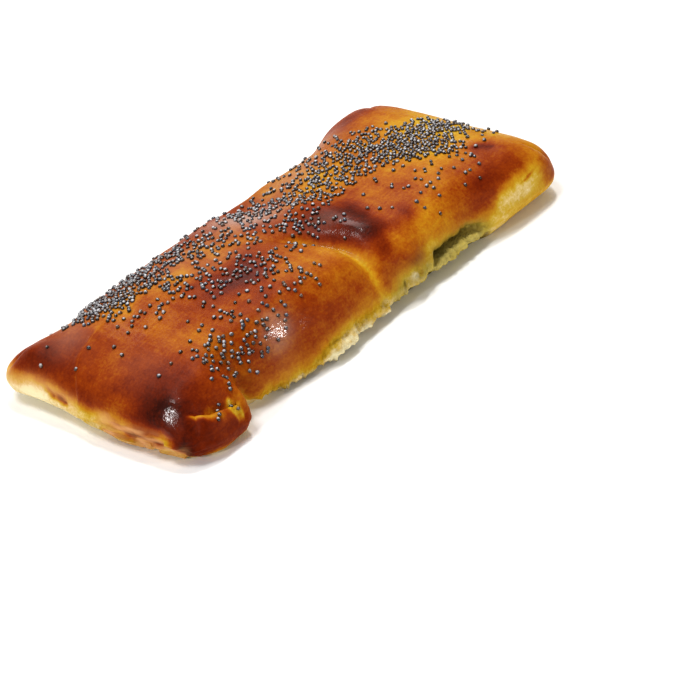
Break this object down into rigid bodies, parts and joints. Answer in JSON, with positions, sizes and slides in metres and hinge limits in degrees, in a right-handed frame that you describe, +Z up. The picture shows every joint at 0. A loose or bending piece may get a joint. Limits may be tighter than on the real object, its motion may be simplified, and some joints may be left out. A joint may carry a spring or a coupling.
{
  "type": "filled flatbread",
  "caption": "Oblong filled flatbread with a glossy browned crust, poppy seeds on top, a folded end and one long side torn open to the pale crumb.",
  "frame": {"origin": "under the middle of the loaf, at the height of its base", "axes": "+X along the loaf from its folded end to its plain end, -Y towards its torn side, +Z up out of the crust"},
  "size_m": [0.155, 0.0755, 0.0228],
  "materials": {
    "crust": "satin",
    "crumb": "matte",
    "seeds": "satin"
  },
  "bodies": {
    "root": {"khachapuri": "crust"}
  },
  "joints": []
}
